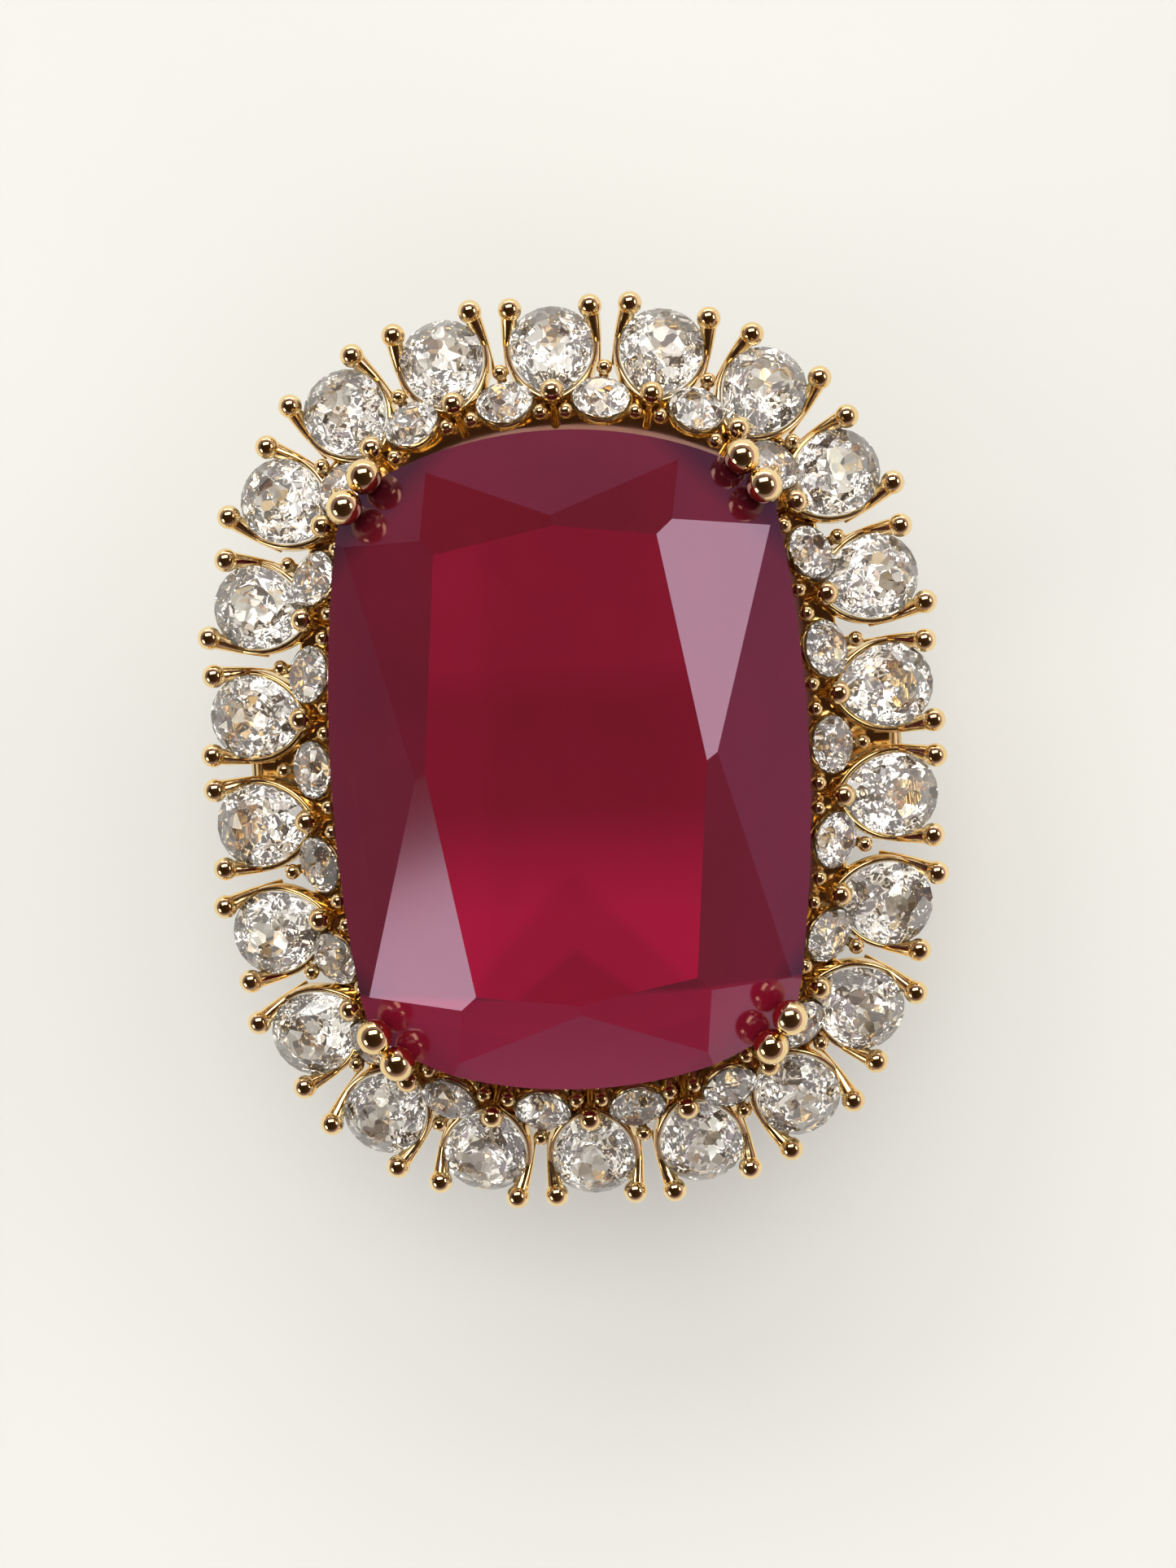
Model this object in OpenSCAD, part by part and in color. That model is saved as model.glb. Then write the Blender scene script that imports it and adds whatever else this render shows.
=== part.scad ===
// Cocktail ring. A large cushion-cut stone in eight claws, inside a halo of round stones and an
// outer halo of pear-shaped stones, on a gallery and a band with raised shoulders.
// Millimetres. The origin is the centre of the finger hole, +Y runs along the finger and along the
// long axis of the head, and +Z runs up through the head.

/* [Band] */
// Inside diameter of the band
finger_d = 17.3; // [16.9:0.1:17.7]
// Thickness of the band opposite the head
band_t = 1.7; // [1.4:0.1:2]
// Thickness of the band where it passes under the head
bridge_t = 1.1; // [0.9:0.05:1.15]
// Width of the band opposite the head
band_w = 3.2; // [2.6:0.1:4]
// Width of the shoulders at their tops
shoulder_w = 6.4; // [5:0.1:7.5]
// Distance between the outer faces of the two shoulders at their tops
shoulder_span = 22.7; // [22.4:0.1:23]

/* [Centre stone] */
// Width of the centre stone, across the finger
stone_w = 16; // [15.8:0.1:16.1]
// Length of the centre stone, along the finger
stone_l = 22; // [21.8:0.1:22.1]
// Height of the table above the girdle
crown_h = 2.2; // [1.8:0.1:2.5]
// Height of the wall at the girdle's corners
girdle_h = 0.85; // [0.8:0.05:0.9]
// Depth from the girdle's lower edge to the keel
pavilion_h = 4.4; // [4:0.1:4.5]
// How far the table's corners are turned against the girdle, in degrees
table_turn = 2.4; // [0:0.1:3]

/* [Halo] */
// Stones in each of the two halos
stations = 22; // [22:1:22]
// Width of a pear-shaped stone
pear_w = 2.85; // [2.75:0.05:2.9]
// Length of a pear-shaped stone
pear_l = 3.5; // [3.4:0.05:3.55]
// Outward tilt of the pear-shaped stones along the sides, in degrees
pear_tilt = 17; // [14:1:18]
// Outward tilt of the pear-shaped stones at the two ends of the head, in degrees
end_tilt = 28; // [24:1:30]
// Diameter of a round stone
round_d = 1.94; // [1.86:0.02:1.94]
// Outward tilt of the round stones, in degrees
round_tilt = 45; // [42:1:46]

/* [Prongs] */
// Diameter of a claw's ball
claw_ball_d = 1.1; // [1:0.05:1.2]
// Thickness of a claw beside the stone
claw_d = 0.56; // [0.4:0.02:0.6]
// Diameter of the ball on a pear's prong
pear_ball_d = 0.7; // [0.6:0.02:0.7]
// Diameter of the ball on a round stone's prong
round_ball_d = 0.5; // [0.44:0.02:0.52]
// Thickness of the wall round a pear
wall_t = 0.18; // [0.16:0.02:0.2]

/* [Hidden] */
$fn = 48;

gap = 0.04;                    // between a stone and the metal beside it

// Heights, built up from the finger hole
finger_r = finger_d / 2;
band_r = finger_r + band_t;
bridge_r = finger_r + bridge_t;
ring_z = bridge_r + 0.05;      // underside of the gallery's ring
ring_h = 0.7;
rail_z = ring_z + 1.7;         // underside of the halo's rail
rail_h = 0.8;
pear_z = rail_z + 1.1;         // girdle of the pears, at half their length
round_z = rail_z + 1.95;       // girdle of the round stones, at their centres
collar_top = rail_z + 2.25;
stone_z = collar_top + 1.2 + girdle_h;    // top of the centre stone's girdle at its corners
basket_z = rail_z - 0.9;       // underside of the basket's lower rail
basket_h = 0.7;

// Ovals through the middles of the pears and of the round stones, and of the posts below them:
// half width, half length and the power that squares them off
pear_path = [10.72, 13.72, 2.72];
round_path = [8.85, 12.1, 3.2];
post_path = [8.6, 11.9, 3.2];

// Outlines with four long arcs, and a circle that trims the corners:
// half width, half length, radius of the long sides, radius of the ends, radius at the corners
stone_outline = [stone_w / 2, stone_l / 2, 45, 13.5, 11.3];
collar_outline = [7.75, 11.22, 45, 13.5, 10.85];
rail_outline = [9.4, 12.75, 38, 15.5, 12.9];
ring_outline = [9.2, 12.5, 40, 15, 12.6];
basket_outline = [6.4, 9.4, 38, 12, 9.6];
collar_t = 0.3;

// Half of a pear, from its long axis
pear_h = pear_w / 2;                                       // radius of its round end
pear_tip = pear_l - pear_h;                                // from the round end's centre to the tip
side_r = (pear_tip * pear_tip + pear_h * pear_h) / pear_w; // radius of its long sides
side_off = side_r - pear_h;
pear_mid = (pear_tip - pear_h) / 2;                        // from half length to that centre

// ---- Stations round the ovals ----

function signed_pow(v, p) = sign(v) * pow(abs(v), p);

// The oval's point at an angle counted clockwise from the +Y end
function on_oval(path, t) =
    [path[0] * signed_pow(sin(t), 2 / path[2]), path[1] * signed_pow(cos(t), 2 / path[2])];

// Pairs of distance along the oval and angle, for looking up equal spacings
function oval_lengths(path, steps = 360) = [
    for (i = 0, s = 0, p = on_oval(path, 0), q = p;
         i <= steps;
         i = i + 1, q = on_oval(path, i * 360 / steps), s = s + norm(q - p), p = q)
        [s, i * 360 / steps]
];

function station(path, lengths, k) =
    on_oval(path, lookup(lengths[len(lengths) - 1][0] * k / stations, lengths));

// Outward direction of an oval at a point on it
function oval_normal(path, p) =
    let (g = [for (i = [0:1]) signed_pow(p[i] / path[i], path[2] - 1) / path[i]]) g / norm(g);

function heading(v) = atan2(v[1], v[0]);

pear_lengths = oval_lengths(pear_path);
round_lengths = oval_lengths(round_path);
post_lengths = oval_lengths(post_path);

function pear_at(k) = station(pear_path, pear_lengths, k);
function round_at(k) = station(round_path, round_lengths, k + 0.5);

// A pear points half way between the oval's own direction and the fan from the inner oval
function pear_heading(k) =
    let (p = pear_at(k), fan = p - station(round_path, round_lengths, k))
    heading(oval_normal(pear_path, p) + fan / norm(fan));

// A pear's tilt grows from the sides towards the ends
function tilt_at(k) = pear_tilt + (end_tilt - pear_tilt) * pow(sin(pear_heading(k)), 2);

function round_heading(k) = heading(station(pear_path, pear_lengths, k + 0.5) - round_at(k));

// Children in a pear's own frame: +X outward along the stone, z = 0 at its girdle, and the origin
// at the centre of its round end
module at_pear(k) {
    p = pear_at(k);
    translate([p[0], p[1], pear_z])
        rotate([0, 0, pear_heading(k)])
            rotate([0, tilt_at(k), 0])
                translate([pear_mid, 0, 0])
                    children();
}

// The same for a round stone, with the origin at its centre
module at_round(k) {
    p = round_at(k);
    translate([p[0], p[1], round_z])
        rotate([0, 0, round_heading(k)])
            rotate([0, round_tilt, 0])
                children();
}

// ---- Shared shapes ----

module cushion_2d(outline, grow = 0) {
    side = outline[0] + grow - outline[2];
    end = outline[1] + grow - outline[3];
    intersection() {
        translate([side, 0]) circle(r = outline[2], $fn = 180);
        translate([-side, 0]) circle(r = outline[2], $fn = 180);
        translate([0, end]) circle(r = outline[3], $fn = 180);
        translate([0, -end]) circle(r = outline[3], $fn = 180);
        circle(r = outline[4] + grow, $fn = 180);
    }
}

module cushion_ring(outline, inner, height, grow = 0) {
    linear_extrude(height)
        difference() {
            cushion_2d(outline);
            cushion_2d(inner, grow);
        }
}

// A pear's outline, grown outwards all round
module pear_2d(grow = 0) {
    circle(r = pear_h + grow);
    intersection() {
        translate([0, side_off]) circle(r = side_r + grow, $fn = 96);
        translate([0, -side_off]) circle(r = side_r + grow, $fn = 96);
        translate([-pear_l - 2, -pear_w]) square([pear_l + 2, 2 * pear_w]);
    }
}

// A wire that stands on z = 0, with a ball whose centre is at the given height
module ball_prong(height, wire_d, ball_d) {
    rotate_extrude() {
        square([wire_d / 2, height]);
        intersection() {
            translate([0, height]) circle(d = ball_d);
            translate([0, height - ball_d]) square([ball_d, 2 * ball_d]);
        }
    }
}

// ---- Small stones ----

// Rings of corner points of a brilliant cut, from the table down: each is the scale of the
// outline, the height and the number of half steps round
function brilliant(sides, crown, girdle, depth) =
    let (table = 0.56, star = 0.78, middle = 0.6, lower = 0.24, c = cos(180 / sides))
    [
        [table, girdle + crown, 0],
        [star, girdle + crown * (1 - star * c) / (1 - table), 1],
        [1, girdle, 0],
        [1, girdle, 1],
        [1, -girdle, 0],
        [1, -girdle, 1],
        [middle, -girdle - depth * 0.48, 0],
        [lower, -girdle - depth * (1 - lower * c), 1],
        [0, -girdle - depth, 0]
    ];

// Distance from the centre of the round end to a pear's outline, at an angle from its axis
function pear_radius(t) =
    cos(t) >= 0
    ? pear_h
    : sqrt(pow(side_off * sin(t), 2) + side_r * side_r - side_off * side_off)
      - side_off * abs(sin(t));

// The solid between the rings' points
module cut_stone(points) {
    hull()
        polyhedron(
            points = points,
            faces = [for (i = [1:len(points) - 2]) [0, i, i + 1]]
        );
}

module pear_stone(k) {
    sides = 10;
    focus = [-0.35, 0];
    color("white")
        at_pear(k)
            cut_stone([
                for (ring = brilliant(sides, 0.5, 0.04, 1.25))
                    for (i = [0:sides - 1])
                        let (t = (i + ring[2] / 2) * 360 / sides,
                             p = focus + ring[0] * (pear_radius(t) * [cos(t), sin(t)] - focus))
                        [p[0], p[1], ring[1]]
            ]);
}

module round_stone(k) {
    sides = 8;
    color("white")
        at_round(k)
            cut_stone([
                for (ring = brilliant(sides, 0.32, 0.03, 0.86))
                    for (i = [0:sides - 1])
                        let (t = (i + ring[2] / 2) * 360 / sides, r = ring[0] * round_d / 2)
                        [r * cos(t), r * sin(t), ring[1]]
            ]);
}

// ---- Centre stone ----

big = 90;                      // edge of the cubes that cut the centre stone's facets

// Everything below the plane through three points
module below_plane(a, b, c) {
    up = cross(b - a, c - a);
    n = up * sign(up[2]) / norm(up);
    translate(a)
        rotate([0, acos(n[2]), heading(n)])
            translate([-big / 2, -big / 2, -big])
                cube(big);
}

// Everything above a plane that falls towards the middle, from a distance and a height
module above_slope(turn, distance, height, slope) {
    rotate([0, 0, turn])
        translate([distance, 0, height])
            rotate([0, -slope, 0])
                translate([-big / 2, -big / 2, 0])
                    cube(big);
}

function plane_height(a, b, c, p) =
    let (n = cross(b - a, c - a)) a[2] - (n[0] * (p[0] - a[0]) + n[1] * (p[1] - a[1])) / n[2];

table_side = 4.6;              // from the middle to the table's point at a long side
table_end = 7.85;              // and to its point at an end
table_corner = [3.64, 7.26];
side_foot = [7.05, 7.5, 0.3];  // where a corner facet meets a long side's facets
end_foot = [4.15, 9.8, 0.75];  // where it meets an end's facets
ridge = 0.34;                  // the side and end facets stop this far short of the table
corner_step = 0.47;            // from the table's corner out to the corner facet, in x and y

// The two long facets and the corner facet at one corner of the crown
module crown_corner(sx, sy) {
    turn = table_turn;
    x = sx * table_corner[0];
    y = sy * table_corner[1];
    corner = [x * cos(turn) - y * sin(turn), x * sin(turn) + y * cos(turn), crown_h];
    side = [sx * side_foot[0], sy * side_foot[1], side_foot[2]];
    end = [sx * end_foot[0], sy * end_foot[1], end_foot[2]];
    at_side = [sx * table_side, 0, crown_h];
    at_end = [0, sy * table_end, crown_h];
    k = corner + corner_step * [sx, sy, 0];
    intersection() {
        below_plane(at_side, corner, side);
        below_plane(at_end, corner, end);
        below_plane(side, end, [k[0], k[1], plane_height(at_side, corner, side, k)]);
    }
}

// The facet in the middle of a long side, and the one in the middle of an end
module crown_middle(s) {
    drop = (crown_h - side_foot[2]) * ridge / (side_foot[0] - table_corner[0]);
    intersection() {
        below_plane(
            [s * side_foot[0], side_foot[1], side_foot[2]],
            [s * side_foot[0], -side_foot[1], side_foot[2]],
            [s * (table_side + ridge), 0, crown_h - drop]
        );
        below_plane(
            [end_foot[0], s * end_foot[1], end_foot[2]],
            [-end_foot[0], s * end_foot[1], end_foot[2]],
            [0, s * (table_end + ridge), crown_h - drop]
        );
    }
}

module centre_stone() {
    w = stone_w / 2 - 0.14;
    l = stone_l / 2 - 0.27;
    z = -girdle_h;
    keel_z = -girdle_h - pavilion_h;
    keel_l = 4;
    steep = 50;
    shallow = 22;
    color("crimson")
        translate([0, 0, stone_z])
            intersection() {
                translate([0, 0, keel_z])
                    linear_extrude(crown_h - keel_z)
                        cushion_2d(stone_outline);
                intersection_for (s = [-1, 1]) {
                    intersection() {
                        crown_corner(s, 1);
                        crown_corner(s, -1);
                        crown_middle(s);
                    }
                }
                intersection_for (turn = [0, 180]) {
                    intersection() {
                        above_slope(turn - 4.6, w, z, steep);
                        above_slope(turn + 4.6, w, z, steep);
                        above_slope(turn + 54, 11.2, z, steep);
                        above_slope(turn - 54, 11.2, z, steep);
                        above_slope(turn + 78, l, z, steep);
                        above_slope(turn + 102, l, z, steep);
                        above_slope(turn, 0, keel_z, shallow);
                        above_slope(turn + 90, keel_l, keel_z, shallow);
                    }
                }
            }
}

// ---- Settings ----

claw_w = 0.6;
claw_balls = [[6.24, 9.78, stone_z + 0.25], [6.92, 8.8, stone_z + 0.58]];

// One claw: up from the basket's rail, out between the stone and the halo, and over the girdle
module claw(ball) {
    side = norm([ball[0], ball[1]]);
    near = stone_outline[4] + 0.08;
    far = near + claw_d;
    rotate([90, 0, heading(ball)])
        linear_extrude(claw_w, center = true)
            polygon([
                [8.98, basket_z], [10.6, collar_top + 0.35], [near, collar_top + 1.1],
                [near, stone_z - 0.3], [side - 0.2, ball[2]], [side + 0.2, ball[2] + 0.1],
                [far, stone_z - 0.3], [far, collar_top + 1.05], [10.87, collar_top + 0.15],
                [9.4, basket_z]
            ]);
    translate(ball) sphere(d = claw_ball_d);
}

// Collar round the centre stone, its eight claws, and the rail that ties them together below
module centre_basket() {
    color("goldenrod") {
        translate([0, 0, rail_z])
            cushion_ring(collar_outline, collar_outline, collar_top - rail_z, -collar_t);
        translate([0, 0, basket_z])
            cushion_ring(basket_outline, basket_outline, basket_h, -0.8);
        for (sx = [-1, 1])
            for (sy = [-1, 1])
                for (ball = claw_balls)
                    claw([sx * ball[0], sy * ball[1], ball[2]]);
    }
}

shoulder_ball = [1.17, 1.36, 0.35];    // from the centre of a pear's round end
shoulder_foot = [-0.4, pear_h + gap + wall_t / 2, -1.05];
tip_ball = [-pear_tip - 0.04, 0, 0.42];

// The wall along a pear's sides, from its widest point to its tip
module pear_wall() {
    height = 1;
    translate([0, 0, -height])
        linear_extrude(height)
            difference() {
                pear_2d(gap + wall_t);
                pear_2d(gap);
                translate([0, -pear_w]) square(2 * pear_w);
            }
}

// A prong that leans out from the wall, grows thicker on its way up and ends in a ball
module shoulder_prong(s) {
    foot = [shoulder_foot[0], s * shoulder_foot[1], shoulder_foot[2]];
    ball = [shoulder_ball[0], s * shoulder_ball[1], shoulder_ball[2]];
    lean = ball - foot;
    translate(foot)
        rotate([0, acos(lean[2] / norm(lean)), heading(lean)])
            cylinder(h = norm(lean), r1 = wall_t / 2, r2 = 0.24);
    translate(ball) sphere(d = pear_ball_d);
}

module pear_setting() {
    pear_wall();
    for (s = [-1, 1])
        shoulder_prong(s);
    // The tip's wire stands upright behind the tip, and its ball laps over the stone
    translate([tip_ball[0] - 0.18, 0, -1.5])
        cylinder(h = 1.9, d = 0.32);
    translate(tip_ball)
        sphere(d = pear_ball_d);
}

// The outer prong of a round stone
module round_prong() {
    translate([round_d / 2 + 0.21, 0, -1.7])
        ball_prong(1.95, 0.36, round_ball_d);
}

// Where a pear's tip ball is, seen from above
function tip_at(k) =
    let (a = pear_heading(k), tilt = tilt_at(k))
    pear_at(k)
        + ((tip_ball[0] + pear_mid) * cos(tilt) + tip_ball[2] * sin(tilt)) * [cos(a), sin(a)];

// Two small upright prongs inside each pear's tip, which hold the round stones beside it. There
// is none where a claw comes up.
module tip_prongs(k) {
    a = pear_heading(k);
    inward = 0.86 - 0.18 * pow(sin(a), 2);
    for (s = [-1, 1]) {
        p = tip_at(k) - inward * [cos(a), sin(a)] + s * 0.42 * [-sin(a), cos(a)];
        from_claws = min([for (ball = claw_balls) norm([abs(p[0]) - ball[0], abs(p[1]) - ball[1]])]);
        if (from_claws > 0.7)
            translate([p[0], p[1], rail_z + rail_h / 2])
                ball_prong(round_z + 0.4 - rail_z - rail_h / 2, 0.34, round_ball_d);
    }
}

// One casting that holds both halos: the rail, the pears' walls and all the small prongs
module halo_gallery() {
    color("goldenrod") {
        translate([0, 0, rail_z])
            cushion_ring(rail_outline, collar_outline, rail_h);
        for (k = [0:stations - 1]) {
            at_pear(k) pear_setting();
            at_round(k) round_prong();
            tip_prongs(k);
        }
    }
}

// Ring under the head, with a post to the halo's rail at each round stone
module under_gallery() {
    color("goldenrod") {
        translate([0, 0, ring_z])
            cushion_ring(ring_outline, ring_outline, ring_h, -1.2);
        for (k = [0:stations - 1]) {
            p = station(post_path, post_lengths, k + 0.5);
            translate([p[0], p[1], ring_z + ring_h / 2])
                cylinder(h = rail_z - ring_z - ring_h / 2, d = 0.8);
        }
    }
}

// ---- Band ----

// Front view of one shoulder: it rises from the band, carries the gallery's ring on a step and
// ends beside it, with a shallow rebate along its outer edge
module shoulder_2d() {
    far = shoulder_span / 2;
    rebate = 0.3;
    step = ring_outline[0] + 0.05;
    ledge = step - 1.25;
    top = rail_z - 0.7;
    polygon([
        [band_r - 0.1, -1], [band_r, 0], [far, top - rebate], [far - rebate, top - rebate],
        [far - rebate, top], [step, top], [step, ring_z], [ledge, ring_z],
        [ledge, ring_z - 0.8], [far - 1.4, ring_z - 0.8], [finger_r + 0.6, 0], [finger_r + 0.6, -1]
    ]);
}

// Everything of the band before its finger hole is bored and its sides are tapered
module band_blank() {
    rotate([90, 0, 0]) {
        cylinder(r = bridge_r, h = shoulder_w, center = true);
        intersection() {
            cylinder(r = band_r, h = shoulder_w, center = true);
            translate([-2 * band_r, -2 * band_r, -shoulder_w])
                cube([4 * band_r, 2 * band_r, 2 * shoulder_w]);
        }
        for (side = [0, 1])
            mirror([side, 0, 0])
                linear_extrude(shoulder_w, center = true)
                    shoulder_2d();
    }
}

module shank() {
    w = band_w / 2;
    s = shoulder_w / 2;
    color("goldenrod")
        difference() {
            intersection() {
                band_blank();
                rotate([90, 0, 90])
                    linear_extrude(shoulder_span + 1, center = true)
                        polygon([
                            [-w, -band_r - 1], [w, -band_r - 1], [w, -band_r / 2],
                            [s, rail_z - 2], [s, rail_z], [-s, rail_z], [-s, rail_z - 2],
                            [-w, -band_r / 2]
                        ]);
            }
            rotate([90, 0, 0])
                cylinder(r = finger_r, h = shoulder_w + 1, center = true);
        }
}

shank();
under_gallery();
halo_gallery();
centre_basket();
centre_stone();
for (k = [1:stations]) {
    pear_stone(k - 1);
    round_stone(k - 1);
}
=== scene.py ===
"""Looks of the cocktail ring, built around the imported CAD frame.

The stones are the CAD nodes with gem materials. The halo, the basket and the gallery are built
again here as swept and turned meshes, in the places that the CAD gives them, and the shank is the
CAD's with rounded edges. Lengths are in millimetres until a mesh is made, and the sizes repeat
those of the CAD part.
"""

import math

import bmesh
import bpy
from mathutils import Matrix, Vector


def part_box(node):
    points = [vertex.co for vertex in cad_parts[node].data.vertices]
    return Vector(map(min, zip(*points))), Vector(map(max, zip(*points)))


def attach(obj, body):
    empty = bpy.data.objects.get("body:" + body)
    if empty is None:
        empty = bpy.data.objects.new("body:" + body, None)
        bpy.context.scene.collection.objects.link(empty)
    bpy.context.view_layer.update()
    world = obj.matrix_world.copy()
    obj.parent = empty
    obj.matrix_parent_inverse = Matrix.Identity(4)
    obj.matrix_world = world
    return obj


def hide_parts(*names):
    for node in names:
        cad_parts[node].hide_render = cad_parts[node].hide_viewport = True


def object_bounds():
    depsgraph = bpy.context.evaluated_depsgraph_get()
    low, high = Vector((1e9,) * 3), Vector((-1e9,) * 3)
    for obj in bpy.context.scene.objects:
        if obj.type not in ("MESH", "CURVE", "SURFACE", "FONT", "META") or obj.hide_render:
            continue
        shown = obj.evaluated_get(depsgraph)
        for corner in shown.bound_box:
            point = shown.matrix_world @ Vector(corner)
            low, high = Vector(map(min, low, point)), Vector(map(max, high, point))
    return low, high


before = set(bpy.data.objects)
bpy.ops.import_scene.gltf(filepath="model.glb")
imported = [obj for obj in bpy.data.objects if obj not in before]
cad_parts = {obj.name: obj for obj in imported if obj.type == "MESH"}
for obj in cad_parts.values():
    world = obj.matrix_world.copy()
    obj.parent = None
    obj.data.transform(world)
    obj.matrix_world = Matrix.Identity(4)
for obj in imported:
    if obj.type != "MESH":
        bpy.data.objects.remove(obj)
cad_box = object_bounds()

MM = 0.001
# How many pears, round stones and posts stand round the head
STATIONS = 22

# ---- Sizes shared with the CAD part ----

STONE_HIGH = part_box("centre_stone")[1]
RING_LOW, RING_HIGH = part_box("under_gallery")
BASKET_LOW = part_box("centre_basket")[0]

# Heights and thicknesses: the gallery's ring, the halo's rail, the girdles of the stones, the
# collar's top, the big stone's crown and girdle, and the basket's lower rail
RING_Z = RING_LOW.z / MM
RING_H = 0.7
RAIL_Z = RING_HIGH.z / MM
RAIL_H = 0.8
PEAR_Z = RAIL_Z + 1.1
ROUND_Z = RAIL_Z + 1.95
COLLAR_TOP = RAIL_Z + 2.25
CROWN_H = 2.2
STONE_Z = STONE_HIGH.z / MM - CROWN_H
BASKET_Z = BASKET_LOW.z / MM
BASKET_H = 0.7

PEAR_W = 2.85
PEAR_L = 3.5
# How far the pears tilt at the head's sides and at its ends, in degrees
PEAR_TILT = 17.0
END_TILT = 28.0
ROUND_D = 1.94
ROUND_TILT = 45.0
# The prongs' balls, a little fuller than the CAD's, and the wall beside each pear
PEAR_BALL_D = 0.82
ROUND_BALL_D = 0.54
WALL_T = 0.17
CLAW_BALL_D = 1.2
# Where the claws' balls are, in one quarter: x, y and height above the girdle
CLAW_BALLS = [(6.24, 9.78, 0.25), (6.92, 8.8, 0.58)]

# Ovals that the stones and the posts stand on: half width, half length and the curve's power
PEAR_PATH = (10.72, 13.72, 2.72)
ROUND_PATH = (8.85, 12.1, 3.2)
POST_PATH = (8.6, 11.9, 3.2)

# Cushion outlines: half width, half length, radii of the sides and the ends, reach of a corner
STONE_OUTLINE = (8.0, 11.0, 45.0, 13.5, 11.3)
COLLAR_OUTLINE = (7.75, 11.22, 45.0, 13.5, 10.85)
RAIL_OUTLINE = (9.4, 12.75, 38.0, 15.5, 12.9)
RING_OUTLINE = (9.2, 12.5, 40.0, 15.0, 12.6)
BASKET_OUTLINE = (6.4, 9.4, 38.0, 12.0, 9.6)

# A pear's shape: radius of its round end, reach of its tip from that end's centre, radius of its
# sides and how far their centres are beyond its middle line, and the middle of its length
PEAR_H = PEAR_W / 2
PEAR_TIP = PEAR_L - PEAR_H
SIDE_R = (PEAR_TIP**2 + PEAR_H**2) / PEAR_W
SIDE_OFF = SIDE_R - PEAR_H
PEAR_MID = (PEAR_TIP - PEAR_H) / 2


# ---- Stations round the ovals ----


def signed_pow(v, p):
    """A power that keeps the sign."""
    return math.copysign(abs(v) ** p, v)


def on_oval(path, t):
    """The oval's point at an angle, in degrees, clockwise from the +Y end."""
    a = math.radians(t)
    return Vector(
        (
            path[0] * signed_pow(math.sin(a), 2 / path[2]),
            path[1] * signed_pow(math.cos(a), 2 / path[2]),
        )
    )


class Oval:
    """An oval that can be walked in equal steps."""

    def __init__(self, path, steps=360):
        self.path = path
        points = [on_oval(path, i * 360 / steps) for i in range(steps + 1)]
        self.reach = [0.0]
        for a, b in zip(points, points[1:]):
            self.reach.append(self.reach[-1] + (b - a).length)
        self.steps = steps

    def at(self, k):
        """The point k stations along, where k may be a fraction."""
        goal = self.reach[-1] * (k % STATIONS) / STATIONS
        i = 1
        while self.reach[i] < goal:
            i += 1
        t = (goal - self.reach[i - 1]) / (self.reach[i] - self.reach[i - 1])
        return on_oval(self.path, (i - 1 + t) * 360 / self.steps)

    def normal(self, p):
        """The way out from a point on the oval."""
        g = [
            signed_pow(p[i] / self.path[i], self.path[2] - 1) / self.path[i]
            for i in (0, 1)
        ]
        return Vector(g).normalized()


pears = Oval(PEAR_PATH)
rounds = Oval(ROUND_PATH)
posts = Oval(POST_PATH)


def heading(v):
    """The angle of a direction, in radians from +X."""
    return math.atan2(v[1], v[0])


def pear_pose(k):
    """Where a pear is, which way it points and how far it tilts: more at the head's ends."""
    p = pears.at(k)
    a = heading(pears.normal(p) + (p - rounds.at(k)).normalized())
    return p, a, math.radians(PEAR_TILT + (END_TILT - PEAR_TILT) * math.sin(a) ** 2)


def pear_frame(k):
    """A pear's own frame: +X outward, z = 0 at the girdle, origin at its round end's centre."""
    p, a, tilt = pear_pose(k)
    return (
        Matrix.Translation((p[0], p[1], PEAR_Z))
        @ Matrix.Rotation(a, 4, "Z")
        @ Matrix.Rotation(tilt, 4, "Y")
        @ Matrix.Translation((PEAR_MID, 0, 0))
    )


def round_frame(k):
    """The same for a round stone, with the origin at its centre."""
    p = rounds.at(k + 0.5)
    return (
        Matrix.Translation((p[0], p[1], ROUND_Z))
        @ Matrix.Rotation(heading(pears.at(k + 0.5) - p), 4, "Z")
        @ Matrix.Rotation(math.radians(ROUND_TILT), 4, "Y")
    )


def spot(radius, angle, z):
    """A point at a radius and an angle round the z axis."""
    return Vector((radius * math.cos(angle), radius * math.sin(angle), z))


def cushion_points(outline, grow=0.0, count=240):
    """Points round a cushion outline: where rays from the middle first meet one of its arcs."""
    width, length, side_r, end_r, corner_r = outline
    arcs = [
        (Vector((width - side_r, 0)), side_r),
        (Vector((side_r - width, 0)), side_r),
        (Vector((0, length - end_r)), end_r),
        (Vector((0, end_r - length)), end_r),
        (Vector((0, 0)), corner_r),
    ]
    points = []
    for i in range(count):
        a = 2 * math.pi * i / count
        u = Vector((math.cos(a), math.sin(a)))
        reach = min(
            c.dot(u) + math.sqrt(c.dot(u) ** 2 - c.length_squared + (r + grow) ** 2)
            for c, r in arcs
        )
        points.append(u * reach)
    return points


# ---- Mesh building ----

# Above which angle an edge of the castings is sharp, in degrees
CAST_SHARP = 40
# How many points bend() makes for each stretch of a path
BEND_STEPS = 6


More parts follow.
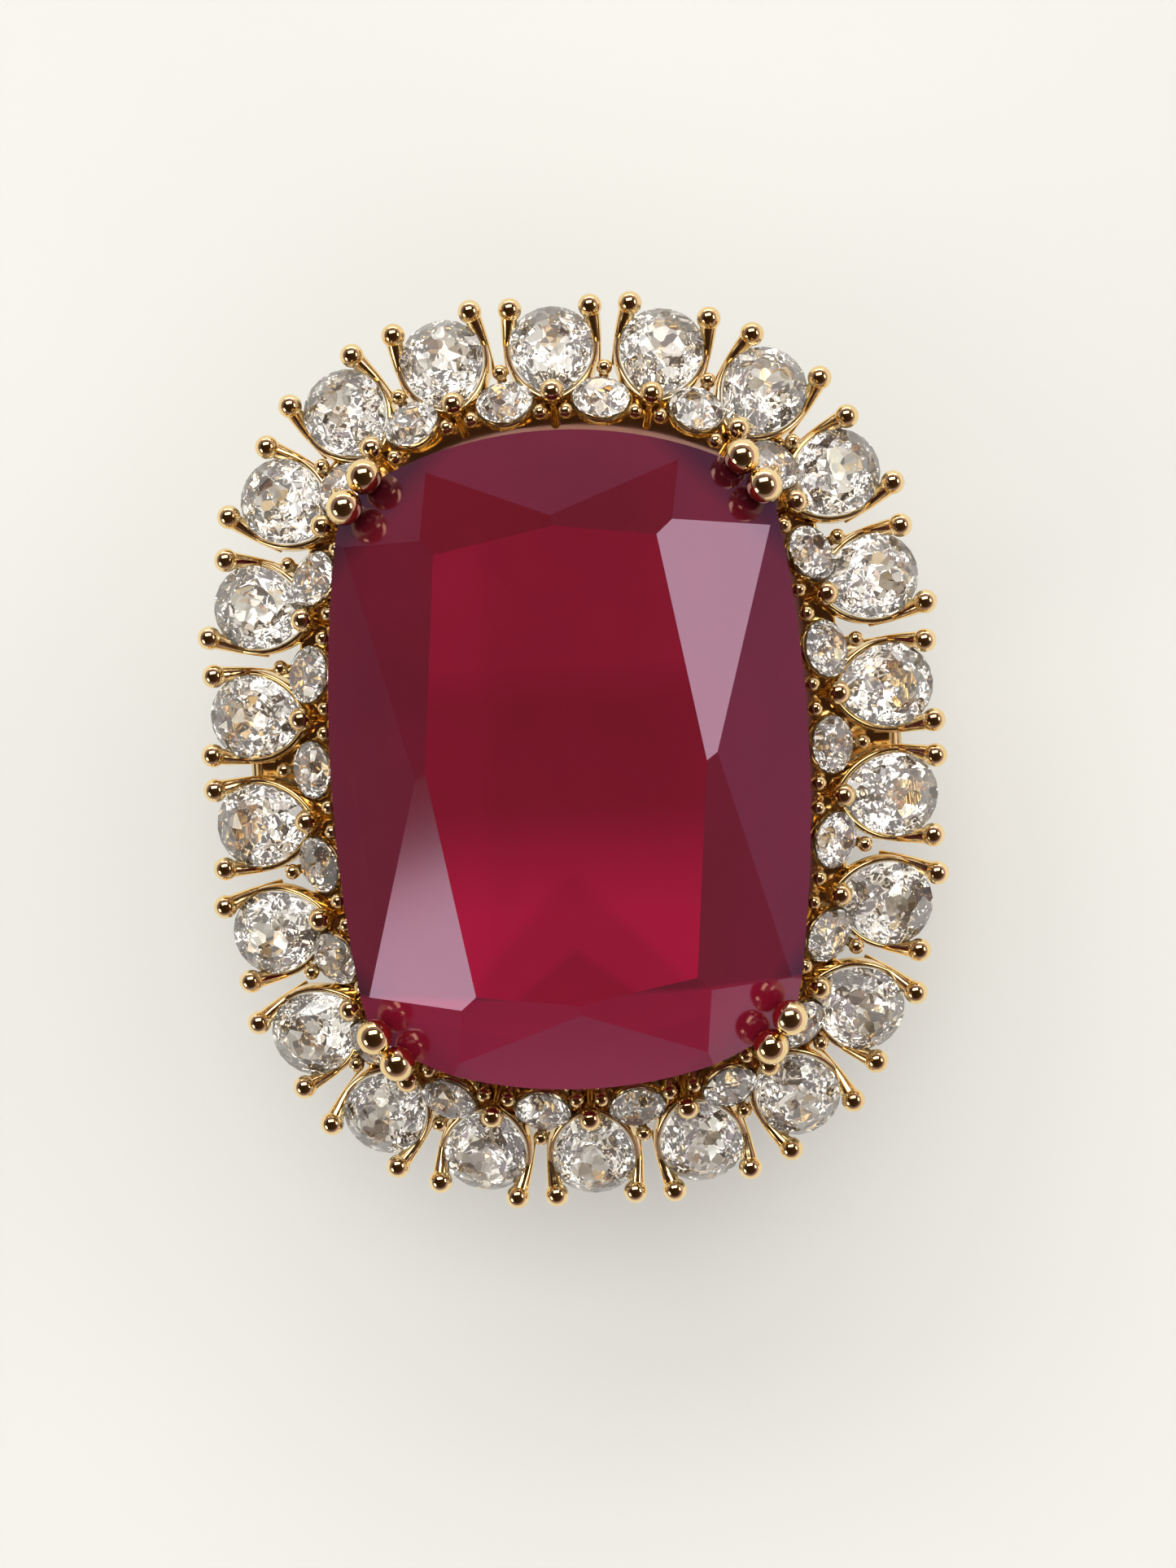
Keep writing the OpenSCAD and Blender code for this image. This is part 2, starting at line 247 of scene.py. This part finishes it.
class Casting:
    """Collects closed shells, in millimetres, and turns them into one smooth-shaded mesh."""

    def __init__(self, name):
        self.name = name
        self.verts = []
        self.faces = []

    def rings(self, rings, closed=False):
        """Joins rings of points, all with the same count, into a tube."""
        n = len(rings[0])
        base = len(self.verts)
        for ring in rings:
            self.verts.extend(ring)
        last = len(rings) if closed else len(rings) - 1
        for i in range(last):
            a = base + i * n
            b = base + ((i + 1) % len(rings)) * n
            for j in range(n):
                k = (j + 1) % n
                self.faces.append((a + j, a + k, b + k, b + j))
        if not closed:
            self.faces.append(tuple(base + j for j in reversed(range(n))))
            self.faces.append(tuple(base + (len(rings) - 1) * n + j for j in range(n)))

    def turned(self, matrix, profile, sides=24):
        """A shape turned about its own z axis: profile is radius and height, from below."""
        angles = [2 * math.pi * j / sides for j in range(sides)]
        self.rings([[matrix @ spot(r, a, z) for a in angles] for r, z in profile])

    def wire(self, points, radii, sides=16):
        """A round wire along a path, with its own radius at each point."""
        tangents = path_tangents(points)
        side = tangents[0].orthogonal().normalized()
        rings = []
        for p, t, r in zip(points, tangents, radii):
            side = (side - t * side.dot(t)).normalized()
            up = t.cross(side)
            rings.append(
                [
                    p + (side * math.cos(a) + up * math.sin(a)) * r
                    for a in (2 * math.pi * j / sides for j in range(sides))
                ]
            )
        self.rings(rings)

    def ball(self, centre, radius, sides=24):
        """A ball whose poles are small flat caps."""
        rings = 15
        profile = [
            (radius * math.sin(a), -radius * math.cos(a))
            for a in (math.pi * (i + 0.2) / (rings - 0.6) for i in range(rings))
        ]
        self.turned(Matrix.Translation(centre), profile, sides)

    def prong(self, matrix, foot, height, wire_r, ball_r, sides=16):
        """A wire from z = foot that swells into a ball centred at z = height."""
        # The ball's arc runs from where the wire meets it to just short of its top
        start = math.asin(min(1.0, wire_r / ball_r)) * 0.95
        profile = [(wire_r, foot), (wire_r, height - ball_r * 1.25)]
        for i in range(13):
            a = math.pi - start - (math.pi - start - 0.05) * i / 12
            profile.append((ball_r * math.sin(a), height + ball_r * math.cos(a)))
        self.turned(matrix, profile, sides)

    def build(self, replaced):
        """Makes the mesh and puts it in place of a CAD node."""
        mesh = bpy.data.meshes.new(self.name)
        mesh.from_pydata([v * MM for v in self.verts], [], self.faces)
        bm = bmesh.new()
        bm.from_mesh(mesh)
        bmesh.ops.recalc_face_normals(bm, faces=bm.faces)
        bm.to_mesh(mesh)
        bm.free()
        obj = metal_object(self.name, mesh, CAST_SHARP)
        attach(obj, "root")
        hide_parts(replaced)


def metal_object(name, mesh, sharp):
    """An object of polished metal, shaded smooth up to an angle in degrees."""
    for polygon in mesh.polygons:
        polygon.use_smooth = True
    mesh.set_sharp_from_angle(angle=math.radians(sharp))
    mesh.materials.clear()
    mesh.materials.append(gold)
    obj = bpy.data.objects.new(name, mesh)
    bpy.context.scene.collection.objects.link(obj)
    return obj


def path_tangents(points, closed=False):
    """Unit directions along a path, at each of its points."""
    n = len(points)
    tangents = []
    for i in range(n):
        before = points[(i - 1) % n] if closed or i > 0 else points[i]
        after = points[(i + 1) % n] if closed or i < n - 1 else points[i]
        tangents.append((after - before).normalized())
    return tangents


def rounded_bar(low, high, half, corner, steps=3):
    """An upright bar's outline, sideways and in height: corner is how much of it is rounded."""
    r = corner * min(half, (high - low) / 2)
    points = []
    corners = [(half - r, high - r, 0), (r - half, high - r, 90)]
    corners += [(r - half, low + r, 180), (half - r, low + r, 270)]
    for x, z, start in corners:
        for i in range(steps + 1):
            a = math.radians(start + 90 * i / steps)
            points.append((x + r * math.cos(a), z + r * math.sin(a)))
    return points


def band_ring(casting, outline, low, high, thickness, corner):
    """A rail round the head: its outer face follows the outline."""
    points = cushion_points(outline, -thickness / 2)
    section = rounded_bar(low, high, thickness / 2, corner)
    rings = []
    for p, t in zip(points, path_tangents(points, closed=True)):
        out = Vector((t[1], -t[0]))
        rings.append([Vector((*(p + out * x), z)) for x, z in section])
    casting.rings(rings, closed=True)


def bend(points):
    """A smooth path through points (Catmull-Rom)."""
    padded = [points[0] * 2 - points[1], *points, points[-1] * 2 - points[-2]]
    path = []
    for a, b, c, d in zip(padded, padded[1:], padded[2:], padded[3:]):
        for i in range(BEND_STEPS):
            t = i / BEND_STEPS
            path.append(
                0.5
                * (
                    2 * b
                    + (c - a) * t
                    + (2 * a - 5 * b + 4 * c - d) * t * t
                    + (3 * b - a - 3 * c + d) * t**3
                )
            )
    path.append(points[-1].copy())
    return path


def spread(values):
    """Values at a path's bends, spread over the points that bend() makes between them."""
    out = []
    for a, b in zip(values, values[1:]):
        out += [a + (b - a) * i / BEND_STEPS for i in range(BEND_STEPS)]
    return [*out, values[-1]]


# ---- Materials ----

# The fine facets of the clear stones: cells per metre, and how far a cell may tip the surface
CELL_SCALE = 2200
CELL_TIP = 0.25


def new_material(name):
    """A new material with its nodes, its links and its Principled shader."""
    material = bpy.data.materials.new(name)
    material.use_nodes = True
    nodes = material.node_tree.nodes
    return material, nodes, material.node_tree.links, nodes["Principled BSDF"]


def noise(nodes, links, scale, detail):
    """Noise fixed to the object: the scale is in waves per metre."""
    where = nodes.new("ShaderNodeTexCoord")
    texture = nodes.new("ShaderNodeTexNoise")
    texture.inputs["Scale"].default_value = scale
    texture.inputs["Detail"].default_value = detail
    texture.inputs["Roughness"].default_value = 0.55
    links.new(where.outputs["Object"], texture.inputs["Vector"])
    return texture.outputs["Fac"]


def ramp(nodes, links, source, stops):
    """A colour ramp: stops are positions and colours."""
    node = nodes.new("ShaderNodeValToRGB")
    elements = node.color_ramp.elements
    while len(elements) < len(stops):
        elements.new(0.5)
    for element, (at, colour) in zip(elements, stops):
        element.position = at
        element.color = (*colour, 1)
    links.new(source, node.inputs["Fac"])
    return node.outputs["Color"]


def spread_value(nodes, links, source, low, high):
    """Noise turned into a range of values."""
    node = nodes.new("ShaderNodeMapRange")
    node.inputs["From Min"].default_value = 0.3
    node.inputs["From Max"].default_value = 0.7
    node.inputs["To Min"].default_value = low
    node.inputs["To Max"].default_value = high
    links.new(source, node.inputs["Value"])
    return node.outputs["Result"]


def bump(nodes, links, source, strength, distance):
    """A surface bump: the distance is in metres."""
    node = nodes.new("ShaderNodeBump")
    node.inputs["Strength"].default_value = strength
    node.inputs["Distance"].default_value = distance
    links.new(source, node.inputs["Height"])
    return node.outputs["Normal"]


def gold_material():
    """Polished gold plate: slight tone changes, fine polishing marks and soft waviness."""
    material, nodes, links, shader = new_material("polished_gold")
    tone = noise(nodes, links, 260, 4)
    links.new(
        ramp(nodes, links, tone, [(0.3, (0.89, 0.64, 0.29)), (0.7, (0.96, 0.74, 0.40))]),
        shader.inputs["Base Color"],
    )
    marks = noise(nodes, links, 1400, 5)
    links.new(spread_value(nodes, links, marks, 0.06, 0.13), shader.inputs["Roughness"])
    wave = noise(nodes, links, 620, 2)
    links.new(bump(nodes, links, wave, 0.12, 0.00003), shader.inputs["Normal"])
    shader.inputs["Metallic"].default_value = 1.0
    return material


def arithmetic(nodes, links, operation, a, b):
    """A math node on two inputs, each a socket or a number."""
    node = nodes.new("ShaderNodeMath")
    node.operation = operation
    for source, socket in zip((a, b), node.inputs):
        if isinstance(source, (int, float)):
            socket.default_value = source
        else:
            links.new(source, socket)
    return node.outputs["Value"]


def beyond(nodes, links, direction, distance, soft):
    """0 before a plane and 1 beyond it: the direction is in x and y, the lengths are in mm."""
    where = nodes.new("ShaderNodeTexCoord")
    along = nodes.new("ShaderNodeVectorMath")
    along.operation = "DOT_PRODUCT"
    along.inputs[1].default_value = (*direction, 0)
    links.new(where.outputs["Object"], along.inputs[0])
    step = nodes.new("ShaderNodeMapRange")
    step.inputs["From Min"].default_value = (distance - soft / 2) * MM
    step.inputs["From Max"].default_value = (distance + soft / 2) * MM
    links.new(along.outputs["Value"], step.inputs["Value"])
    return step.outputs["Result"]


def ruby_painted_light(nodes, links):
    """How pale the stone is painted, from 0 to 1: the paler and darker patches are painted
    reflections from its pavilion and painted shade under the claws.
    """

    def plane(x, y, distance, soft):
        return beyond(nodes, links, (x, y), distance, soft)

    def calc(operation, a, b):
        return arithmetic(nodes, links, operation, a, b)

    # Painted reflections: the table's low end is paler, with a darker fan in its middle and a
    # darker peak in that
    low_end = plane(0, -1, 3.0, 3.4)
    fan = calc("MULTIPLY", plane(0.73, -0.68, 2.3, 0.5), plane(-0.73, -0.68, 2.3, 0.5))
    peak = calc("MULTIPLY", plane(0.62, -0.79, 4.72, 0.3), plane(-0.62, -0.79, 4.72, 0.3))
    darker = calc("ADD", calc("MULTIPLY", fan, 0.22), calc("MULTIPLY", peak, 0.25))
    low_reflection = calc("MULTIPLY", low_end, calc("SUBTRACT", 0.71, darker))
    # Painted reflections: the rest of the table is darker, a little less so at its high end and
    # its left side
    high_reflection = calc("ADD", calc("MULTIPLY", plane(0, 1, 2.7, 1.2), 0.16), 0.16)
    side_reflection = calc("MULTIPLY", plane(-1, 0.04, 2.6, 0.6), 0.08)
    table = calc("ADD", calc("ADD", low_reflection, high_reflection), side_reflection)
    # Painted reflections: round the table, only the facets of the low end are paler
    crown = calc("MULTIPLY", plane(0, -1, 7.5, 0.2), 0.55)
    surface = nodes.new("ShaderNodeNewGeometry")
    split = nodes.new("ShaderNodeSeparateXYZ")
    links.new(surface.outputs["Normal"], split.inputs["Vector"])
    flat = calc("GREATER_THAN", split.outputs["Z"], 0.98)
    painted_light = calc("ADD", calc("MULTIPLY", calc("SUBTRACT", table, crown), flat), crown)
    cloud = calc("MULTIPLY", calc("SUBTRACT", noise(nodes, links, 130, 3), 0.5), 0.35)
    # Painted shade: the four corners are darkest, under the claws
    corners = 0
    for x, y in ((1, 1), (-1, 1), (-1, -1), (1, -1)):
        corners = calc("ADD", corners, plane(0.71 * x, 0.71 * y, 10.0, 0.8))
    painted_light = calc("SUBTRACT", calc("ADD", painted_light, cloud), calc("MULTIPLY", corners, 0.27))
    return calc("ADD", calc("MULTIPLY", painted_light, 0.75), 0.25)


def ruby_material():
    """Deep crimson with painted paler and darker patches for reflections inside it and shade under
    the claws, and lilac reflections from its coating.
    """
    material, nodes, links, shader = new_material("red_stone")
    # The base colour holds painted reflections and painted shade, not the stone's own colour
    links.new(
        ramp(
            nodes,
            links,
            ruby_painted_light(nodes, links),
            [
                (0.0, (0.02, 0.0025, 0.0043)),
                (0.25, (0.115, 0.0055, 0.0118)),
                (1.0, (0.312, 0.0066, 0.035)),
            ],
        ),
        shader.inputs["Base Color"],
    )
    shader.inputs["Roughness"].default_value = 0.1
    shader.inputs["IOR"].default_value = 1.77
    shader.inputs["Specular Tint"].default_value = (0.86, 0.62, 1.0, 1)
    shader.inputs["Transmission Weight"].default_value = 0.35
    return material


def clear_material():
    """Colourless, with fine facets: small cells that each tip the surface a little and tint it
    with a painted reflection, dark, brownish like the gold, or white.
    """
    material, nodes, links, shader = new_material("clear_stone")
    where = nodes.new("ShaderNodeTexCoord")
    cells = nodes.new("ShaderNodeTexVoronoi")
    cells.inputs["Scale"].default_value = CELL_SCALE
    links.new(where.outputs["Object"], cells.inputs["Vector"])
    split = nodes.new("ShaderNodeSeparateColor")
    links.new(cells.outputs["Color"], split.inputs["Color"])
    # Painted reflections: the cells' colours stand for dark surroundings, the gold seen through
    # the stone, and white glints
    painted_reflections = [(0.0, (0.2, 0.15, 0.1)), (0.2, (0.55, 0.47, 0.37)), (0.42, (1.0, 0.98, 0.93))]
    links.new(ramp(nodes, links, split.outputs["Red"], painted_reflections), shader.inputs["Base Color"])
    tip = nodes.new("ShaderNodeVectorMath")
    tip.operation = "MULTIPLY_ADD"
    tip.inputs[1].default_value = [2 * CELL_TIP] * 3
    tip.inputs[2].default_value = [-CELL_TIP] * 3
    links.new(cells.outputs["Color"], tip.inputs[0])
    surface = nodes.new("ShaderNodeNewGeometry")
    tipped = nodes.new("ShaderNodeVectorMath")
    tipped.operation = "ADD"
    links.new(surface.outputs["Normal"], tipped.inputs[0])
    links.new(tip.outputs["Vector"], tipped.inputs[1])
    unit = nodes.new("ShaderNodeVectorMath")
    unit.operation = "NORMALIZE"
    links.new(tipped.outputs["Vector"], unit.inputs[0])
    links.new(unit.outputs["Vector"], shader.inputs["Normal"])
    shader.inputs["Roughness"].default_value = 0.02
    shader.inputs["IOR"].default_value = 1.9
    shader.inputs["Transmission Weight"].default_value = 0.9
    return material


def floor_material():
    """Plain, pale and matt, with a slight change of tone."""
    material, nodes, links, shader = new_material("pale_floor")
    tone = noise(nodes, links, 14, 2)
    links.new(
        ramp(nodes, links, tone, [(0.3, (0.48, 0.482, 0.457)), (0.7, (0.503, 0.505, 0.48))]),
        shader.inputs["Base Color"],
    )
    shader.inputs["Roughness"].default_value = 0.9
    return material


gold = gold_material()
ruby = ruby_material()
clear = clear_material()


# ---- Halo ----

# In a pear's own frame: where the tip prong's ball is, in x and z
TIP_BALL = (-PEAR_TIP - 0.04, 0.42)
# A shoulder prong's foot, its two bends and its ball, with the prong's radius at each
SHOULDER_PRONG = [
    ((-0.5, 1.52, -1.05), 0.1),
    ((0.3, 1.49, -0.4), 0.2),
    ((0.85, 1.42, 0.05), 0.28),
    ((1.17, 1.36, 0.35), 0.32),
]
# The tip prong's bends: x from the pear's tip, and height
TIP_PRONG = [(-0.25, -1.5), (-0.23, -0.6), (-0.2, 0.0), (-0.06, 0.4)]
# Section of the seat under a round stone: radius and height
ROUND_SEAT = [
    (0.78, -0.34),
    (0.97, -0.14),
    (1.02, -0.12),
    (1.03, -0.2),
    (0.88, -0.5),
    (0.78, -0.5),
]
# How near to a claw's ball a small prong may stand
CLAW_ROOM = 0.7
# The slit between the collar's outline and the rail
RAIL_GAP = 0.02


def pear_side(grow, steps=16):
    """Half of a wall's path: from the pear's widest point to its tip."""
    r = SIDE_R + grow
    last = math.acos(SIDE_OFF / r)
    return [
        Vector((-r * math.sin(last * i / steps), r * math.cos(last * i / steps) - SIDE_OFF))
        for i in range(steps + 1)
    ]


def pear_wall(casting, matrix):
    """The wall along a pear's sides, with its lower edge arched on each side."""
    half = pear_side(WALL_T / 2 + 0.01)
    path = half + [Vector((p[0], -p[1])) for p in reversed(half[:-1])]
    count = len(path) - 1
    rings = []
    for i, (p, t) in enumerate(zip(path, path_tangents(path))):
        out = Vector((t[1], -t[0]))
        along = abs(2 * i / count - 1)
        arch = math.sin(math.pi * along) ** 2
        section = rounded_bar(-1.0 + 0.35 * arch, -0.03, WALL_T / 2, 0.85)
        rings.append([matrix @ Vector((*(p + out * x), z)) for x, z in section])
    casting.rings(rings)


def pear_setting(casting, matrix):
    """A pear's wall, its two shoulder prongs and its tip prong."""
    pear_wall(casting, matrix)
    # The shoulder prongs lean out from the wall and grow thicker towards their balls
    for side in (-1, 1):
        points = bend([Vector((x, y * side, z)) for (x, y, z), _ in SHOULDER_PRONG])
        radii = spread([r for _, r in SHOULDER_PRONG])
        casting.wire([matrix @ p for p in points], radii)
        casting.ball(matrix @ points[-1], PEAR_BALL_D / 2)
    # The tip's prong stands behind the tip, and its ball laps over the stone
    points = bend([Vector((-PEAR_TIP + x, 0, z)) for x, z in TIP_PRONG])
    casting.wire([matrix @ p for p in points], [0.16] * len(points))
    casting.ball(matrix @ Vector((TIP_BALL[0], 0, TIP_BALL[1])), PEAR_BALL_D / 2)


def tip_prongs(casting, k):
    """Two small upright prongs inside a pear's tip; there is none where a claw comes up."""
    p, a, tilt = pear_pose(k)
    reach = (TIP_BALL[0] + PEAR_MID) * math.cos(tilt) + TIP_BALL[1] * math.sin(tilt)
    inward = 0.86 - 0.18 * math.sin(a) ** 2
    out = Vector((math.cos(a), math.sin(a)))
    across = Vector((-out[1], out[0]))
    low = RAIL_Z + RAIL_H / 2
    for side in (-1, 1):
        q = p + out * (reach - inward) + across * (0.42 * side)
        nearest = min(math.hypot(abs(q[0]) - x, abs(q[1]) - y) for x, y, _ in CLAW_BALLS)
        if nearest > CLAW_ROOM:
            foot = Matrix.Translation((q[0], q[1], low))
            casting.prong(foot, 0, ROUND_Z + 0.4 - low, 0.17, ROUND_BALL_D / 2)


def round_setting(casting, matrix):
    """The outer prong of a round stone, and the thin seat under its girdle."""
    foot = Matrix.Translation((ROUND_D / 2 + 0.21, 0, 0))
    casting.prong(matrix @ foot, -1.7, 0.25, 0.18, ROUND_BALL_D / 2)
    sides = 32
    rings = []
    for j in range(sides):
        a = 2 * math.pi * j / sides
        rings.append([matrix @ spot(r, a, z) for r, z in ROUND_SEAT])
    casting.rings(rings, closed=True)


def build_halo():
    """The rail that both halos stand on, with the settings of all the small stones."""
    casting = Casting("halo_metal")
    inner = cushion_points(COLLAR_OUTLINE, RAIL_GAP)
    outer = cushion_points(RAIL_OUTLINE)
    # The rail fills the space between the collar and its own outline, so its width varies
    section = rounded_bar(RAIL_Z, RAIL_Z + RAIL_H, 0.5, 0.3)
    rings = []
    for p, q in zip(inner, outer):
        middle = (p + q) / 2
        rings.append([Vector((*(middle + (q - p) * x), z)) for x, z in section])
    casting.rings(rings, closed=True)
    for k in range(STATIONS):
        pear_setting(casting, pear_frame(k))
        round_setting(casting, round_frame(k))
        tip_prongs(casting, k)
    casting.build("halo_gallery")


# ---- Centre basket ----

# How far outside the stone's corner a claw's wire passes
CLAW_OUT = 0.36


def claw(casting, x, y, ball_z):
    """One claw: up from the basket's rail, out between the stone and the halo, over the girdle."""
    side = math.hypot(x, y)
    out = Vector((x / side, y / side, 0))
    near = STONE_OUTLINE[4] + CLAW_OUT
    # Reach from the middle of the head, height and radius at each bend
    bends = [
        (9.2, BASKET_Z + 0.35, 0.3),
        (9.95, COLLAR_TOP - 1.4, 0.24),
        (10.72, COLLAR_TOP + 0.25, 0.15),
        (near - 0.1, COLLAR_TOP + 1.0, 0.26),
        (near + 0.03, STONE_Z - 0.5, 0.29),
        (side + 0.12, STONE_Z + ball_z - 0.1, 0.3),
    ]
    points = bend([out * reach + Vector((0, 0, z)) for reach, z, _ in bends])
    casting.wire(points, spread([r for _, _, r in bends]))
    casting.ball(Vector((x, y, STONE_Z + ball_z)), CLAW_BALL_D / 2, 32)


def build_basket():
    """The collar round the big stone, the lower rail and the eight claws."""
    casting = Casting("basket_metal")
    band_ring(casting, COLLAR_OUTLINE, RAIL_Z, COLLAR_TOP, 0.3, 0.8)
    band_ring(casting, BASKET_OUTLINE, BASKET_Z, BASKET_Z + BASKET_H, 0.8, 0.7)
    for sx in (-1, 1):
        for sy in (-1, 1):
            for x, y, z in CLAW_BALLS:
                claw(casting, sx * x, sy * y, z)
    casting.build("centre_basket")


# ---- Gallery under the head ----

# A post's waisted profile: radius, and height from 0 in the ring to 1 at the rail
POST_PROFILE = [(0.52, 0), (0.46, 0.4), (0.3, 0.55), (0.24, 0.75), (0.3, 0.9), (0.4, 1.0)]


def build_gallery():
    """The ring under the head and its posts."""
    casting = Casting("gallery_metal")
    band_ring(casting, RING_OUTLINE, RING_Z, RING_Z + RING_H, 1.2, 0.6)
    low = RING_Z + RING_H / 2
    profile = [(r, low + (RAIL_Z - low) * t) for r, t in POST_PROFILE]
    for k in range(STATIONS):
        p = posts.at(k + 0.5)
        casting.turned(Matrix.Translation((p[0], p[1], 0)), profile)
    casting.build("under_gallery")


# ---- Shank ----

# Up to which angle faces are merged and above which an edge is sharp, in degrees, and how much
# the edges are rounded
SHANK_FLAT = 0.5
SHANK_SHARP = 30
SHANK_ROUND = 0.25


def build_shank():
    """The CAD's shank with its coplanar triangles merged, so that its edges can be rounded."""
    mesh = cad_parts["shank"].data.copy()
    bm = bmesh.new()
    bm.from_mesh(mesh)
    bmesh.ops.remove_doubles(bm, verts=bm.verts, dist=0.001 * MM)
    bmesh.ops.dissolve_limit(
        bm, angle_limit=math.radians(SHANK_FLAT), verts=bm.verts, edges=bm.edges
    )
    bm.to_mesh(mesh)
    bm.free()
    obj = metal_object("shank_metal", mesh, SHANK_SHARP)
    edges = obj.modifiers.new("edges", "BEVEL")
    edges.width = SHANK_ROUND * MM
    edges.segments = 4
    edges.limit_method = "ANGLE"
    edges.angle_limit = math.radians(SHANK_SHARP)
    edges.use_clamp_overlap = False
    edges.harden_normals = True
    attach(obj, "root")
    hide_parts("shank")


# ---- Stones ----


def dress_stones():
    """The stones keep their CAD shapes, with flat facets and gem materials."""
    for name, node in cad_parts.items():
        if "_stone" not in name:
            continue
        node.data.materials.clear()
        node.data.materials.append(ruby if name == "centre_stone" else clear)
        for polygon in node.data.polygons:
            polygon.use_smooth = False


# ---- Studio ----

# The camera: how far it is tipped towards +X and +Y and rolled, in degrees, its lens in
# millimetres, and its distance and target in metres. It aims at the height of the pears
CAMERA_TIP = (2.4, 4.4)
CAMERA_ROLL = 3
CAMERA_LENS = 78
CAMERA_DISTANCE = 0.116
CAMERA_TARGET = (0.00047, -0.0010)

# In metres: what the lights face, half the floor's width, and how far it is below the ring
LIGHT_AIM = Vector((0, 0, 0.014))
FLOOR_HALF = 3
FLOOR_DROP = 0.0001

def build_camera():
    """Looks down on the head from just above, tipped towards +Y and +X and rolled a little."""
    target = Vector((*CAMERA_TARGET, PEAR_Z * MM))
    back = Vector((*(math.tan(math.radians(tip)) for tip in CAMERA_TIP), 1)).normalized()
    data = bpy.data.cameras.new("camera")
    data.lens = CAMERA_LENS
    data.clip_start = 0.01
    camera = bpy.data.objects.new("camera", data)
    roll = math.radians(CAMERA_ROLL)
    up = Vector((math.sin(roll), math.cos(roll), 0))
    up = (up - back * up.dot(back)).normalized()
    right = up.cross(back)
    turn = Matrix((right, up, back)).transposed().to_4x4()
    camera.matrix_world = Matrix.Translation(target + back * CAMERA_DISTANCE) @ turn
    bpy.context.scene.collection.objects.link(camera)
    bpy.context.scene.camera = camera


def area_light(name, azimuth, elevation, distance, size, radiance, colour=(1, 1, 1)):
    """A soft panel that faces the head: angles in degrees, lengths in metres, and radiance."""
    a = math.radians(azimuth)
    e = math.radians(elevation)
    way = Vector((math.cos(a) * math.cos(e), math.sin(a) * math.cos(e), math.sin(e)))
    data = bpy.data.lights.new(name, "AREA")
    data.shape = "RECTANGLE"
    data.size, data.size_y = size
    data.energy = radiance * math.pi * size[0] * size[1]
    data.color = colour
    light = bpy.data.objects.new(name, data)
    light.location = LIGHT_AIM + way * distance
    light.rotation_euler = way.to_track_quat("Z", "Y").to_euler()
    bpy.context.scene.collection.objects.link(light)
    return light


def build_world():
    """Dark overhead, lilac lower down and pale at the horizon, brightest towards +X."""
    world = bpy.data.worlds.new("studio")
    bpy.context.scene.world = world
    world.use_nodes = True
    nodes = world.node_tree.nodes
    links = world.node_tree.links
    where = nodes.new("ShaderNodeTexCoord")
    split = nodes.new("ShaderNodeSeparateXYZ")
    links.new(where.outputs["Generated"], split.inputs["Vector"])
    colour = ramp(
        nodes,
        links,
        split.outputs["Z"],
        [
            (0.0, (0.95, 0.90, 0.82)),
            (0.05, (0.85, 0.80, 0.75)),
            (0.09, (0.36, 0.27, 0.35)),
            (0.36, (0.27, 0.20, 0.25)),
            (0.55, (0.045, 0.025, 0.015)),
            (1.0, (0.03, 0.014, 0.008)),
        ],
    )
    lean = nodes.new("ShaderNodeVectorMath")
    lean.operation = "DOT_PRODUCT"
    lean.inputs[1].default_value = (0.5, 0.12, 0)
    links.new(where.outputs["Generated"], lean.inputs[0])
    level = nodes.new("ShaderNodeMath")
    level.operation = "ADD"
    level.inputs[1].default_value = 1.1
    links.new(lean.outputs["Value"], level.inputs[0])
    links.new(colour, nodes["Background"].inputs["Color"])
    links.new(level.outputs["Value"], nodes["Background"].inputs["Strength"])


def build_studio():
    """The floor, the world and the panels of light."""
    mesh = bpy.data.meshes.new("floor")
    signs = [(-1, -1), (1, -1), (1, 1), (-1, 1)]
    corners = [(x * FLOOR_HALF, y * FLOOR_HALF, 0) for x, y in signs]
    mesh.from_pydata(corners, [], [(0, 1, 2, 3)])
    mesh.materials.append(floor_material())
    floor = bpy.data.objects.new("floor", mesh)
    floor.location.z = cad_box[0][2] - FLOOR_DROP
    bpy.context.scene.collection.objects.link(floor)
    build_world()
    # From the camera, the window shows in the big stone's upper right facet and the bounce in its
    # lower left one. The back and the crest light the metal and the small stones
    area_light("window", 12, 37, 0.5, (0.22, 0.09), 4.6, (1.0, 1.0, 0.84))
    area_light("bounce", 208.3, 27, 0.5, (0.2, 0.13), 4.8, (1.0, 0.95, 0.8))
    area_light("back", 90, 4, 0.6, (0.7, 0.09), 3.6, (1.0, 0.98, 0.94))
    area_light("crest", 97, 51, 0.5, (0.46, 0.18), 4.4, (1.0, 0.98, 0.94))
    # Two overhead panels light the floor and the stones' insides without showing in polish
    sky = area_light("sky", 80, 80, 3.2, (5.2, 5.2), 2.0)
    sky.visible_glossy = False
    fill = area_light("fill", 80, 77, 4.8, (1.6, 1.6), 13.5)
    fill.visible_glossy = False
    fill.visible_transmission = False


build_camera()
build_halo()
build_basket()
build_gallery()
build_shank()
dress_stones()
build_studio()
bpy.context.scene.view_settings.view_transform = "Standard"
